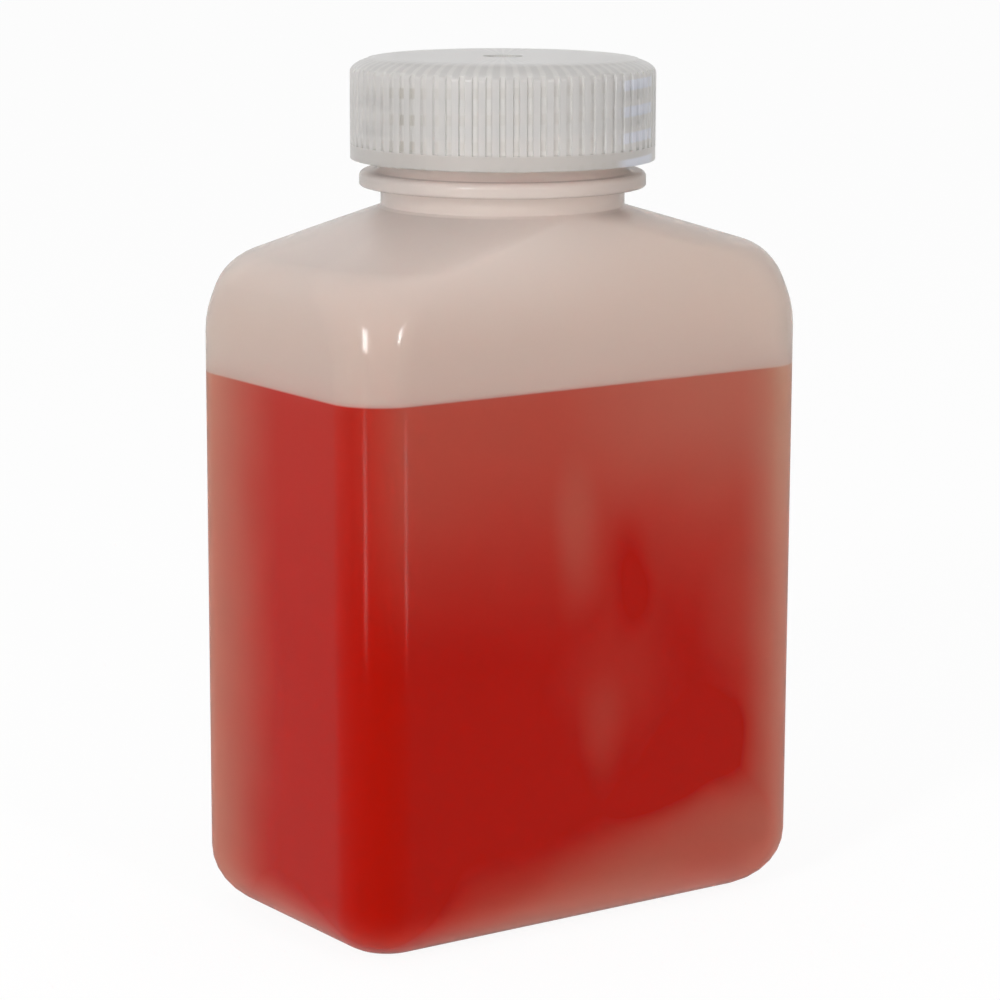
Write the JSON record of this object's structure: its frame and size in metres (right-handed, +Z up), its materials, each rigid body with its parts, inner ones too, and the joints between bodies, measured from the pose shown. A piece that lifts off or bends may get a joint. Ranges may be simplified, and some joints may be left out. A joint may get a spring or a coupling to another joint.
{
  "type": "rectangular media bottle",
  "caption": "Translucent rectangular lab bottle with soft shoulders, a round screw neck with a flange, a ribbed screw cap, and red liquid medium inside.",
  "frame": {"origin": "middle of the base, on the surface that the bottle stands on", "axes": "+Z up along the neck, X along the broad face, Y from broad face to broad face; the front broad face looks to -Y"},
  "size_m": [0.09, 0.0544, 0.1426],
  "materials": {
    "bottle_plastic": "satin",
    "cap_plastic": "satin",
    "red_medium": "gloss"
  },
  "bodies": {
    "bottle": {"bottle": "bottle_plastic", "medium": "red_medium"},
    "cap": {"cap": "cap_plastic"}
  },
  "joints": [
    {"name": "cap_lift", "type": "slide", "parent": "bottle", "child": "cap", "axis": [0, 0, 1], "range_m": [0, 0.03]}
  ]
}
